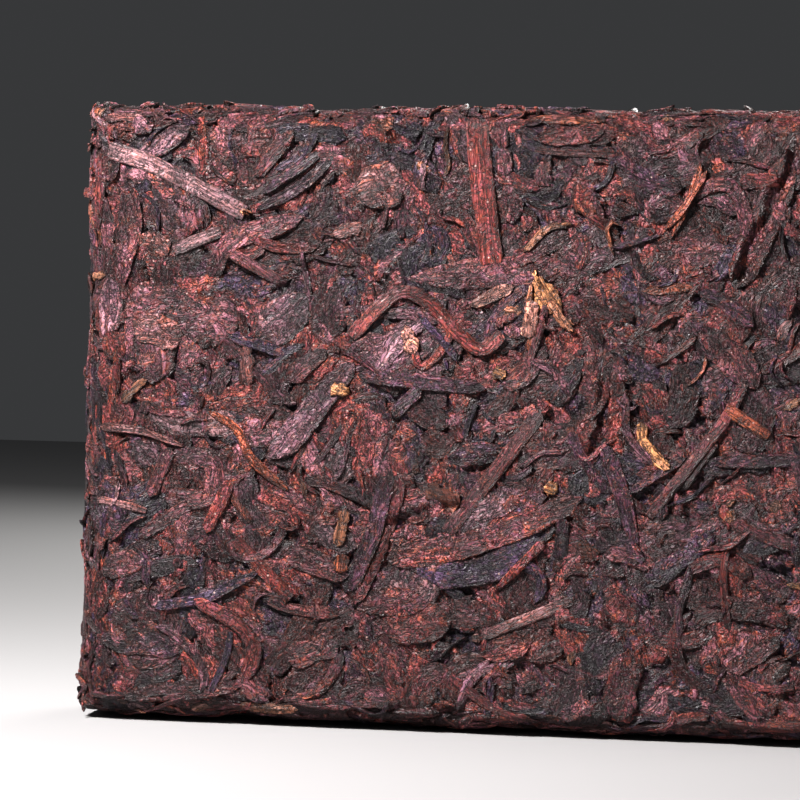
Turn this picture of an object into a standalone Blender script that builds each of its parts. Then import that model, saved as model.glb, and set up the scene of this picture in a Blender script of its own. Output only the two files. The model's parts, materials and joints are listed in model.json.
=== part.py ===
"""A pressed tea brick: one block of compressed leaf, standing on one of its long narrow sides.

Metres, +Z up. The origin is the middle of the base. X runs along the brick, Y goes through its
thickness and the front broad face looks towards -Y.
"""

import math
import random

import bmesh
import bpy
from mathutils import Vector

MM = 0.001

# The mould that the leaf was pressed in.
LENGTH = 140 * MM
THICKNESS = 28 * MM
HEIGHT = 92 * MM

# How far in from each side the leaf rolls over into the next face: along X, Y and Z.
ROLL = Vector((7.5 * MM, 6.0 * MM, 4.5 * MM))
# Above 2 this keeps the four corners of a broad face square, though its edges roll over.
CORNER_SQUARENESS = 6

# Faces of the net before it is rounded, along X, Y and Z.
CELLS = (44, 10, 30)

# Pressed leaves that stand proud of the block, as a relief.
LEAF_COUNT = 420
LEAF_SEED = 11
LEAF_LENGTH = (9 * MM, 26 * MM)
LEAF_WIDTH = (3.5 * MM, 9 * MM)
RELIEF_DEPTH = 0.9 * MM

# The base rests flat where it faces down more steeply than this.
BASE_FACING = -0.93
BASE_FADE = 0.45

LEAF_COLOUR = (0.075, 0.034, 0.024, 1.0)
LEAF_ROUGHNESS = 0.55


def clear_scene():
    for obj in list(bpy.data.objects):
        bpy.data.objects.remove(obj, do_unlink=True)


def pressed_leaf_material():
    material = bpy.data.materials.new("pressed_leaf")
    material.use_nodes = True
    shader = material.node_tree.nodes["Principled BSDF"]
    shader.inputs["Base Color"].default_value = LEAF_COLOUR
    shader.inputs["Roughness"].default_value = LEAF_ROUGHNESS
    shader.inputs["Metallic"].default_value = 0.0
    return material


def clamp(value, limit):
    return max(-limit, min(limit, value))


def on_brick(point):
    """The nearest place on the smooth brick, and the way out of it there. The brick is centred on 0."""
    inner = Vector((LENGTH, THICKNESS, HEIGHT)) / 2 - ROLL
    core = Vector([clamp(point[axis], inner[axis]) for axis in range(3)])
    out = Vector([(point[axis] - core[axis]) / ROLL[axis] for axis in range(3)])
    sideways = abs(out.x) ** CORNER_SQUARENESS + abs(out.z) ** CORNER_SQUARENESS
    reach = math.hypot(sideways ** (1 / CORNER_SQUARENESS), out.y)
    out /= reach
    place = core + Vector([out[axis] * ROLL[axis] for axis in range(3)])
    normal = Vector([out[axis] / ROLL[axis] for axis in range(3)]).normalized()
    return place, normal


def scattered_leaves():
    """Each leaf is its middle, the way it lies, the way across it, its half length and its half width."""
    rng = random.Random(LEAF_SEED)
    half = Vector((LENGTH, THICKNESS, HEIGHT)) / 2
    areas = (half.y * half.z, half.x * half.z, half.x * half.y)
    leaves = []
    for _ in range(LEAF_COUNT):
        side = rng.choices(range(3), areas)[0]
        spot = Vector([rng.uniform(-half[axis], half[axis]) for axis in range(3)])
        spot[side] = math.copysign(half[side], rng.uniform(-1, 1))
        place, normal = on_brick(spot)
        wander = Vector([rng.gauss(0, 1) for _ in range(3)])
        along = (wander - normal * wander.dot(normal)).normalized()
        across = normal.cross(along)
        leaves.append((place, along, across, rng.uniform(*LEAF_LENGTH) / 2, rng.uniform(*LEAF_WIDTH) / 2))
    return leaves


def relief(place, leaves):
    """Height from 0, between the leaves, to 1 on the ridge of one."""
    height = 0.0
    for middle, along, across, half_length, half_width in leaves:
        offset = place - middle
        if offset.length > half_length:
            continue
        lengthways = offset.dot(along) / half_length
        crossways = offset.dot(across) / half_width
        crown = 1 - lengthways**2 - crossways**2
        height = max(height, crown)
    return math.sqrt(height)


def netted_block():
    """A cube primitive, cut into CELLS faces along its three ways and sized to the mould."""
    net = bmesh.new()
    bmesh.ops.create_cube(net, size=1.0)
    for axis in range(3):
        edges = []
        for edge in net.edges:
            run = edge.verts[1].co - edge.verts[0].co
            if abs(run[axis]) > 0.5:
                edges.append(edge)
        bmesh.ops.subdivide_edges(net, edges=edges, cuts=CELLS[axis] - 1, use_grid_fill=True)
    bmesh.ops.scale(net, vec=(LENGTH, THICKNESS, HEIGHT), verts=net.verts)
    return net


def tea_brick(collection):
    net = netted_block()
    leaves = scattered_leaves()
    for vertex in net.verts:
        place, normal = on_brick(vertex.co)
        free_of_base = min(1.0, max(0.0, (normal.z - BASE_FACING) / BASE_FADE))
        sunk = RELIEF_DEPTH * (1 - relief(place, leaves)) * free_of_base
        vertex.co = place - normal * sunk
        vertex.co.z += HEIGHT / 2
        if normal.z < BASE_FACING:
            vertex.co.z = 0.0
    bmesh.ops.triangulate(net, faces=net.faces)
    bmesh.ops.recalc_face_normals(net, faces=net.faces)
    mesh = bpy.data.meshes.new("tea_brick")
    net.to_mesh(mesh)
    net.free()
    mesh.materials.append(pressed_leaf_material())
    brick = bpy.data.objects.new("tea_brick", mesh)
    collection.objects.link(brick)
    return brick


def main():
    clear_scene()
    collection = bpy.data.collections.new("pressed_tea_brick")
    bpy.context.scene.collection.children.link(collection)
    tea_brick(collection)


main()
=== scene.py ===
"""The looks of a pressed tea brick: leaves, rolled strips, stems, buds and crumbs pressed into one block.

The leaves are laid one after another on a pile over the brick's smooth form. Each one lies on what is
already there, and the pile is then pressed, as the mould does. Lengths below are in millimetres, measured
from the middle of the brick, until a mesh is made.
"""

import json
import math

import bmesh
import bpy
import numpy as np
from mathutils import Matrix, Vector

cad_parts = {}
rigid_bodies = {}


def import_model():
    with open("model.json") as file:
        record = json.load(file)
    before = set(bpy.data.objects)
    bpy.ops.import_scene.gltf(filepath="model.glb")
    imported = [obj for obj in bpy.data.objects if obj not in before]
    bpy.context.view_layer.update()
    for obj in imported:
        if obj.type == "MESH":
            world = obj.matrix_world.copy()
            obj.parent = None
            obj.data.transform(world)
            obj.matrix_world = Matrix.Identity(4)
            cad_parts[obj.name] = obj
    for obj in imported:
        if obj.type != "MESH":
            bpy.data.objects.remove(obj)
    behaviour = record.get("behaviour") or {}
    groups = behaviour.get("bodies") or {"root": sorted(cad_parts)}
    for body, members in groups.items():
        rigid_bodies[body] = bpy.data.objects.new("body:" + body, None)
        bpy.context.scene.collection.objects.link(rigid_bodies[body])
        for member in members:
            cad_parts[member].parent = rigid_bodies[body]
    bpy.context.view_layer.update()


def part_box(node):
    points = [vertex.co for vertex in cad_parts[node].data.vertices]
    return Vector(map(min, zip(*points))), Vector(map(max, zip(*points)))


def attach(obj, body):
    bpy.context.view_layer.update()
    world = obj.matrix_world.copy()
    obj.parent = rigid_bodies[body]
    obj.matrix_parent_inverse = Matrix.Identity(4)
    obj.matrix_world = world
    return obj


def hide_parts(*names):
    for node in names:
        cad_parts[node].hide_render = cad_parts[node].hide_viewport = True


for startup_object in list(bpy.data.objects):
    bpy.data.objects.remove(startup_object, do_unlink=True)

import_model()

MM = 0.001
LOW, HIGH = (np.array(corner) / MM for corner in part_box("tea_brick"))
MIDDLE = (LOW + HIGH) / 2
HALF = (HIGH - LOW) / 2

# How far in from each side the leaf rolls over into the next face, as on the solid.
ROLL = np.array((7.5, 6.0, 4.5))
CORNER_SQUARENESS = 6

# The pile of leaves: its cells, how deep it starts and how high it can stand once pressed.
PILE_CELL = 0.55
PILE_MARGIN = 3
CORE_LEVEL = -1.05
PRESSED_TOP = 0.2
PRESS_SOFTNESS = 1.1

rng = np.random.default_rng(20)


# ---------------------------------------------------------------- the brick's smooth form


def unit(vectors):
    return vectors / np.maximum(np.linalg.norm(vectors, axis=-1, keepdims=True), 1e-9)


def on_brick(points):
    """The nearest places on the smooth brick, and the ways out of it there."""
    inner = HALF - ROLL
    core = np.clip(points, -inner, inner)
    out = (points - core) / ROLL
    sideways = np.abs(out[..., 0]) ** CORNER_SQUARENESS + np.abs(out[..., 2]) ** CORNER_SQUARENESS
    reach = np.hypot(sideways ** (1 / CORNER_SQUARENESS), out[..., 1])
    out = out / np.maximum(reach, 1e-9)[..., None]
    return core + out * ROLL, unit(out / ROLL)


pile = np.zeros(tuple(np.ceil(2 * HALF / PILE_CELL).astype(int) + 2 * PILE_MARGIN))
showpieces = np.zeros(pile.shape, bool)


def pile_cells(places):
    return tuple(((places + HALF) / PILE_CELL + PILE_MARGIN).astype(int).reshape(-1, 3).T)


def pressed(height):
    """What the mould leaves of a height in the pile, from the smooth form outwards."""
    return CORE_LEVEL + (PRESSED_TOP - CORE_LEVEL) * np.tanh(height / PRESS_SOFTNESS)


# Places where leaf is missing: how far from the left end and above the base, how wide and how deep. The first
# two are the dark hollow low on the right.
FRONT_HOLLOWS = (
    ((87.5, 8.5), 5.0, 1.5),
    ((92.0, 5.5), 4.0, 1.2),
    ((21.0, 87.0), 1.8, 0.9),
    ((31.0, 71.0), 1.6, 0.6),
    ((84.0, 57.0), 2.6, 0.6),
    ((59.0, 75.0), 1.4, 0.7),
    ((45.0, 33.0), 2.4, 0.6),
)
# Cracks between leaves on the front, from one end to the other.
FRONT_CRACKS = (
    ((105.5, 85.5), (102.0, 77.0)),
    ((102.0, 77.0), (97.0, 66.5)),
    ((18.0, 90.0), (16.5, 78.5)),
    ((47.5, 86.5), (45.5, 74.0)),
    ((35.0, 66.5), (28.5, 63.5)),
    ((79.0, 52.0), (77.5, 41.0)),
    ((58.5, 33.5), (47.0, 30.5)),
    ((90.5, 33.0), (99.0, 25.5)),
)
CRACK_STEP = 0.7
CRACK_WIDTH = 0.75
CRACK_DEPTH = 0.42
SEEDED_HOLLOWS = 110


def crack_places(start, end):
    """Places along a crack that wavers from its start to its end."""
    start, end = np.array(start), np.array(end)
    length = np.linalg.norm(end - start)
    t = np.arange(0, length, CRACK_STEP) / length
    sideways = np.array((start[1] - end[1], end[0] - start[0])) / length
    return start + t[:, None] * (end - start) + 0.5 * np.sin(7 * t[:, None] + start[0]) * sideways


def place_hollows():
    """Middles, radii and depths of the hollows, as listed on the front and by chance all over."""
    marks = list(FRONT_HOLLOWS)
    for start, end in FRONT_CRACKS:
        marks += [(tuple(place), CRACK_WIDTH, CRACK_DEPTH) for place in crack_places(start, end)]
    middles = [(x - HALF[0], -HALF[1], z - HALF[2]) for (x, z), _, _ in marks]
    radii = [radius for _, radius, _ in marks]
    depths = [depth for _, _, depth in marks]
    spots = rng.uniform(-1, 1, (SEEDED_HOLLOWS, 3))
    sides = rng.choice(3, SEEDED_HOLLOWS, p=(0.14, 0.66, 0.2))
    spots[np.arange(SEEDED_HOLLOWS), sides] = np.sign(spots[np.arange(SEEDED_HOLLOWS), sides])
    middles = np.vstack((middles, spots * HALF))
    radii = np.concatenate((radii, rng.uniform(1.2, 4.5, SEEDED_HOLLOWS)))
    return middles, radii, np.concatenate((depths, rng.uniform(0.15, 0.55, SEEDED_HOLLOWS)))


hollows = place_hollows()


def hollow_at(places):
    """How deep the surface is hollowed at each place, in millimetres."""
    middles, radii, depths = hollows
    apart = ((places[..., None, :] - middles) ** 2).sum(axis=-1)
    return (depths * np.exp(-apart / radii**2)).sum(axis=-1)


def soften(grid, times):
    for _ in range(times):
        wide = np.pad(grid, 1, mode="edge")
        around = wide[:-2, 1:-1] + wide[2:, 1:-1] + wide[1:-1, :-2] + wide[1:-1, 2:]
        grid = (around + 2 * grid) / 6
    return grid


def between(grid):
    """The same grid with a value added half way between its neighbours, both ways."""
    rows = np.repeat(grid, 2, axis=0)[:-1].astype(float)
    rows[1::2] = (grid[:-1] + grid[1:]) / 2
    both = np.repeat(rows, 2, axis=1)[:, :-1]
    both[:, 1::2] = (rows[:, :-1] + rows[:, 1:]) / 2
    return both


# ---------------------------------------------------------------- what a leaf is like


def wander(count, waves, size=1.0):
    """A smooth random run of values about 0, for an uneven edge or a waver."""
    t = np.linspace(0, 1, count)
    run = np.zeros(count)
    for wave in range(1, waves + 1):
        run += rng.normal() * np.sin(math.pi * wave * t + rng.uniform(0, 6.3)) / wave**0.7
    return run * size * 0.6


def jagged(count, size):
    """Smooth wavering with small nicks, for the edge of a torn or broken leaf."""
    return wander(count, 5, size) + rng.uniform(-0.45, 0.45, count) * size


def lens_outline(u):
    skewed = u ** rng.uniform(0.7, 1.45)
    return np.clip(1 - np.abs(2 * skewed - 1) ** rng.uniform(2.0, 4.0), 0, 1) ** 0.7


def strip_outline(u):
    start, end = rng.uniform(0.04, 0.3, 2)
    blunt = rng.uniform(0.45, 0.95)
    taper = np.clip(np.minimum(u / start, (1 - u) / end), 0, 1)
    return blunt * np.minimum(1, taper * 4) + (1 - blunt) * taper


def stem_outline(u):
    ends = np.clip(np.minimum(u, 1 - u) / 0.04, 0, 1)
    return 0.8 + 0.2 * np.sqrt(ends)


def torn_outline(u):
    return np.clip(1 - np.abs(2 * u - 1) ** rng.uniform(2.5, 6), 0, 1) ** 0.5


def flat_top(v, squareness):
    """A pressed piece is level across and falls away only near its edges."""
    return 1 - np.abs(v) ** squareness


def wrinkles(x, y, period, along=0.25, waver=0.5):
    """Ridges with sharp creases between them, mostly lengthways, about 1 high. x runs along and y across."""
    total = 0
    for share in (0.6, 0.4):
        lean = rng.normal(0, along)
        bend = waver * period * np.sin(2 * math.pi * (x / (period * rng.uniform(3, 6)) + rng.uniform()))
        run = (y + lean * x + bend) / (period * rng.uniform(0.8, 1.5))
        total = total + share * np.abs(np.sin(math.pi * (run + rng.uniform())))
    return total


def blade_section(x, y, v, half_width):
    """A flat blade with a groove along its midrib, side veins, and a rim that may curl up."""
    rib = rng.uniform(-0.3, 0.3)
    groove = -rng.uniform(0.03, 0.14) * np.exp(-(((v - rib) / 0.1) ** 2))
    veins = 0.05 * np.abs(np.sin(math.pi * (x * rng.uniform(0.25, 0.5) - np.abs(y) * 0.35)))
    curl = rng.choice((0.0, 0.0, 0.1, 0.25)) * np.clip(v * rng.choice((-1, 1)), 0, 1) ** 3
    relief = veins + groove + 0.1 * wrinkles(x, y, 1.9, 0.5)
    return 0.13 * flat_top(v, 12) + relief * flat_top(v, 8) + curl


def crumpled_section(x, y, v, half_width):
    """A leaf pressed while it was crumpled: meandering ridges all over it."""
    depth = rng.uniform(0.15, 0.36)
    return 0.08 * flat_top(v, 12) + depth * wrinkles(x, y, rng.uniform(1.3, 2.2), 0.6, 0.9) * flat_top(v, 8)


def folded_section(x, y, v, half_width):
    """A few rounded folds along the leaf with sharp creases between them."""
    depth = rng.uniform(0.1, 0.26)
    period = 2 * half_width / rng.uniform(1.6, 3.6)
    return 0.14 * flat_top(v, 12) + depth * wrinkles(x, y, period, 0.12, 0.3) * flat_top(v, 8)


def rolled_section(x, y, v, half_width):
    """A leaf rolled into a strip and pressed: nearly level, with the roll's seam winding along it."""
    lean = rng.uniform(-0.12, 0.12)
    seam = np.abs(np.sin(math.pi * ((y + lean * x) / (half_width * rng.uniform(0.9, 1.6)) + rng.uniform())))
    return 0.18 * flat_top(v, 10) + 0.06 * half_width * (1 - v**2) + 0.13 * seam**0.6 * flat_top(v, 8)


def stem_section(x, y, v, half_width):
    ribs = 0.04 * np.cos(9 * v + rng.uniform(0, 6.3))
    return 0.1 * flat_top(v, 8) + (0.2 + ribs) * half_width * np.sqrt(np.clip(1 - v**2, 0, 1))


def torn_section(x, y, v, half_width):
    return 0.1 * flat_top(v, 10) + 0.12 * wrinkles(x, y, 1.6, 0.8) * flat_top(v, 8)


# Each kind of piece: outline, section, points of its grid across, spacing of its rows, how it wanders, how
# closely it follows what is under it, and how ragged its edges are.
KINDS = {
    "broad_leaves": (lens_outline, blade_section, 12, 1.0, 0.4, 0.8, 0.16),
    "crumpled_leaves": (torn_outline, crumpled_section, 13, 0.85, 0.7, 0.85, 0.22),
    "folded_leaves": (strip_outline, folded_section, 12, 1.05, 0.5, 0.75, 0.15),
    "rolled_strips": (strip_outline, rolled_section, 8, 1.1, 0.5, 0.65, 0.14),
    "thin_strips": (strip_outline, rolled_section, 5, 1.1, 0.7, 0.65, 0.2),
    "stems": (stem_outline, stem_section, 8, 1.4, 0.15, 0.3, 0.06),
    "golden_buds": (strip_outline, folded_section, 8, 0.5, 0.5, 0.5, 0.34),
    "torn_flakes": (torn_outline, torn_section, 6, 0.8, 0.8, 0.8, 0.3),
}
# Points across a piece crowd towards its sides, as on an arc of this half angle.
SIDE_ANGLE = 0.92 * math.pi / 2
NARROWEST = 0.12
# The share by which a piece bridges over dips in its bed, and how far it may tilt.
BRIDGING = 0.07
MOST_TILT = 0.14
UNDERSIDE = (0.72, -0.72)
UNDERSIDE_DEPTH = 0.6
SHORTEST_ROWS = 6

# Where each tone lies on the leaf colours, which run from cold and dark to warm and pale.
TONES = (
    "blue_black",
    "charcoal",
    "umber",
    "rosewood",
    "mauve",
    "grey_mauve",
    "pale_mauve",
    "terracotta",
    "rust",
    "tan",
    "blush",
    "gold",
)


def tone_place(name):
    return TONES.index(name) / (len(TONES) - 1)


heaps = {name: [] for name in KINDS}


def spine_through(points, rows):
    """Evenly spaced places along a smooth curve through the points."""
    points = np.array(points, float)
    if len(points) == 2:
        points = np.array((points[0], points.mean(axis=0), points[1]))
    ends = np.vstack((2 * points[0] - points[1], points, 2 * points[-1] - points[-2]))
    steps = np.linspace(0, 1, 12, endpoint=False)[:, None]
    runs = []
    for a, b, c, d in zip(ends[:-3], ends[1:-2], ends[2:-1], ends[3:]):
        runs.append(
            b
            + 0.5 * steps * (c - a)
            + steps**2 * (a - 2.5 * b + 2 * c - 0.5 * d)
            + steps**3 * (1.5 * (b - c) + 0.5 * (d - a))
        )
    curve = np.vstack((*runs, points[-1]))
    run = np.concatenate(([0], np.cumsum(np.linalg.norm(np.diff(curve, axis=0), axis=1))))
    wanted = np.linspace(0, run[-1], rows)
    return np.stack([np.interp(wanted, run, curve[:, axis]) for axis in range(3)], axis=-1)


def wandering_spine(middle, along, across, length, bend, rows):
    """A bent run about its middle, in the plane that touches the brick there."""
    t = np.linspace(-0.5, 0.5, rows)
    angle = bend * rng.normal() * 2 * t
    angle = angle + bend * 0.5 * rng.normal() * np.sin(2 * math.pi * (t + rng.uniform()))
    step = length / (rows - 1)
    x = np.concatenate(([0], np.cumsum(np.cos((angle[1:] + angle[:-1]) / 2)))) * step
    y = np.concatenate(([0], np.cumsum(np.sin((angle[1:] + angle[:-1]) / 2)))) * step
    x -= x.mean()
    y -= y.mean()
    return middle + x[:, None] * along + y[:, None] * across


def lay(kind, spine, facing, width, tone, lift=0.0, fine=1.0, proud=0.0):
    """Lays one piece on the pile along its spine, and keeps its rings of points for the mesh.

    A proud piece is one that the mould missed: its far end stands that far above the pressed leaf.
    """
    outline, section, columns, _, _, flex, ragged = KINDS[kind]
    columns = int(columns * fine)
    rows = len(spine)
    half_width = width / 2
    u = np.linspace(0, 1, rows)
    v = np.sin(np.linspace(-1, 1, columns) * SIDE_ANGLE) / math.sin(SIDE_ANGLE)
    shape = np.maximum(outline(u), NARROWEST)
    left = half_width * shape * (1 + jagged(rows, ragged))
    right = half_width * shape * (1 + jagged(rows, ragged))
    reach = np.where(v[None, :] < 0, left[:, None], right[:, None]) * v[None, :]
    ahead = unit(np.gradient(spine, axis=0))
    across = unit(np.cross(facing, ahead))
    places, normals = on_brick(spine[:, None] + reach[..., None] * across[:, None])
    under = pile[pile_cells(places)].reshape(rows, columns)
    under = soften(under, 3)
    bed = flex * under + (1 - flex) * under.mean(axis=1, keepdims=True)
    bed = (1 - BRIDGING) * bed + BRIDGING * bed.max()
    run = np.concatenate(([0], np.cumsum(np.linalg.norm(np.diff(spine, axis=0), axis=1))))
    height = section(run[:, None], reach, v[None, :], half_width)
    height = height * np.minimum(1, 0.35 + 4 * np.minimum(u, 1 - u))[:, None]
    height += bed + lift + wander(rows, 3, 0.04)[:, None] + rng.uniform(-MOST_TILT, MOST_TILT) * v[None, :]

    points = np.stack([between(places[..., axis]) for axis in range(3)], axis=-1)
    np.maximum.at(pile, pile_cells(points), between(height).ravel())

    seed = rng.uniform(0, 60)
    low_v = np.array(UNDERSIDE)[None, :]
    low_reach = np.where(low_v < 0, left[:, None], right[:, None]) * low_v
    low_places, low_normals = on_brick(spine[:, None] + low_reach[..., None] * across[:, None])
    lowest = np.minimum(bed.min(axis=1), height[:, (0, -1)].min(axis=1))
    low_height = pressed(lowest) - UNDERSIDE_DEPTH
    rise = proud * u[:, None] ** 1.5
    top = pressed(height) - hollow_at(places) + rise
    below = low_height[:, None] - hollow_at(low_places) + 0.9 * rise
    upper = places + normals * top[..., None]
    lower = low_places + low_normals * below[..., None]
    rings = np.concatenate((upper, lower), axis=1)
    heaps[kind].append(
        {
            "rings": rings,
            "across": np.concatenate((reach, low_reach), axis=1),
            "rim": np.concatenate((np.tile(np.abs(v), (rows, 1)), np.ones((rows, 2))), axis=1),
            "height": np.concatenate((height, np.tile(bed.min(axis=1)[:, None] - 1, (1, 2))), axis=1),
            "run": run,
            "width": width,
            "tone": tone,
            "seed": seed,
        }
    )
    return places


# ---------------------------------------------------------------- scattering


def even_spots(side, count):
    """Places spread evenly over one side of the brick, a little out of step."""
    # The even steps for two directions are 1 / p and 1 / p**2, where p**3 = p + 1.
    golden = np.array((0.7548776662466927, 0.5698402909980532))
    flat = (np.arange(count)[:, None] * golden + rng.uniform(0, 1, 2)) % 1
    flat = (flat + rng.normal(0, 0.02, (count, 2))) % 1
    axis, sign = side
    others = [other for other in range(3) if other != axis]
    spots = np.zeros((count, 3))
    spots[:, others] = (2 * flat - 1) * HALF[others]
    spots[:, axis] = sign * HALF[axis]
    return spots


SIDES = [(axis, sign) for axis in range(3) for sign in (-1, 1)]
# How far from lengthways the leaves lie on the sides that face along X, Y and Z.
GRAIN_SPREAD = {0: 0.5, 1: 1.4, 2: 0.45}
# Near the edge of a broad face most leaves lie along that edge.
EDGE_BAND = 5
EDGE_CHANCE = 0.75
EDGE_SPREAD = 0.35
TONE_SPREAD = 0.035
# How surely a piece is left out whose middle would lie on a front piece, and the share of a piece's run that
# may lie on them.
SHOW_CHANCE = 1.0
MOST_COVER = 0.3


def lie(side, spot, facing):
    """The way a piece lies: any way in the middle of a broad face, along the edge near one."""
    axis = side[0]
    long_way = np.array((1.0, 0, 0)) if axis != 0 else np.array((0, 0, 1.0))
    angle = rng.normal(0, GRAIN_SPREAD[axis])
    if axis == 1:
        from_top = HALF[2] - abs(spot[2])
        from_end = HALF[0] - abs(spot[0])
        if min(from_top, from_end) < EDGE_BAND and rng.uniform() < EDGE_CHANCE:
            angle = rng.normal(0, EDGE_SPREAD)
            if from_end < from_top:
                long_way = np.array((0, 0, 1.0))
        else:
            angle = rng.uniform(-math.pi, math.pi)
    along = unit(long_way - facing * np.dot(long_way, facing))
    across = np.cross(facing, along)
    return along * math.cos(angle) + across * math.sin(angle)


def pick_tone(weights):
    """A tone by chance, by how common each is."""
    name = rng.choice(list(weights), p=np.array(list(weights.values())) / sum(weights.values()))
    return float(np.clip(tone_place(name) + rng.normal(0, TONE_SPREAD), 0, 1))


def scatter(kind, per_cm2, lengths, widths, weights, lift=(0.0, 0.0)):
    """Lays pieces of one kind over all six sides."""
    _, _, _, spacing, bend, _, _ = KINDS[kind]
    for side in SIDES:
        others = [axis for axis in range(3) if axis != side[0]]
        area = 4 * HALF[others[0]] * HALF[others[1]] / 100
        for spot in even_spots(side, max(1, round(per_cm2 * area))):
            middle, facing = on_brick(spot)
            along = lie(side, spot, facing)
            across = np.cross(facing, along)
            size = rng.uniform(0, 1) ** 1.5
            length = lengths[0] + (lengths[1] - lengths[0]) * size
            width = widths[0] + (widths[1] - widths[0]) * (0.6 * size + 0.4 * rng.uniform())
            if showpieces[pile_cells(middle)][0] and rng.uniform() < SHOW_CHANCE:
                continue
            rows = max(SHORTEST_ROWS, int(round(length / spacing)))
            spine = wandering_spine(middle, along, across, length, bend, rows)
            if showpieces[pile_cells(on_brick(spine)[0])].mean() > MOST_COVER:
                continue
            lay(kind, spine, facing, width, pick_tone(weights), rng.uniform(*lift))


# How common each tone is among leaves, strips, crumbs, stems and buds.
LEAF_MIX = {
    "blue_black": 3,
    "charcoal": 4,
    "umber": 5,
    "rosewood": 3,
    "mauve": 6,
    "grey_mauve": 2.5,
    "terracotta": 0.8,
}
STRIP_MIX = {
    "blue_black": 3,
    "charcoal": 4,
    "umber": 5,
    "rosewood": 3.5,
    "mauve": 4,
    "grey_mauve": 2,
    "rust": 0.8,
}
CRUMB_MIX = {
    "charcoal": 2,
    "umber": 5,
    "rosewood": 5,
    "mauve": 4,
    "terracotta": 1,
    "rust": 0.8,
    "tan": 0.3,
    "blush": 0.3,
}
STEM_MIX = {"umber": 4, "mauve": 2, "rosewood": 3, "terracotta": 1, "charcoal": 2}
BUD_MIX = {"gold": 1, "tan": 3, "blush": 1}

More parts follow.
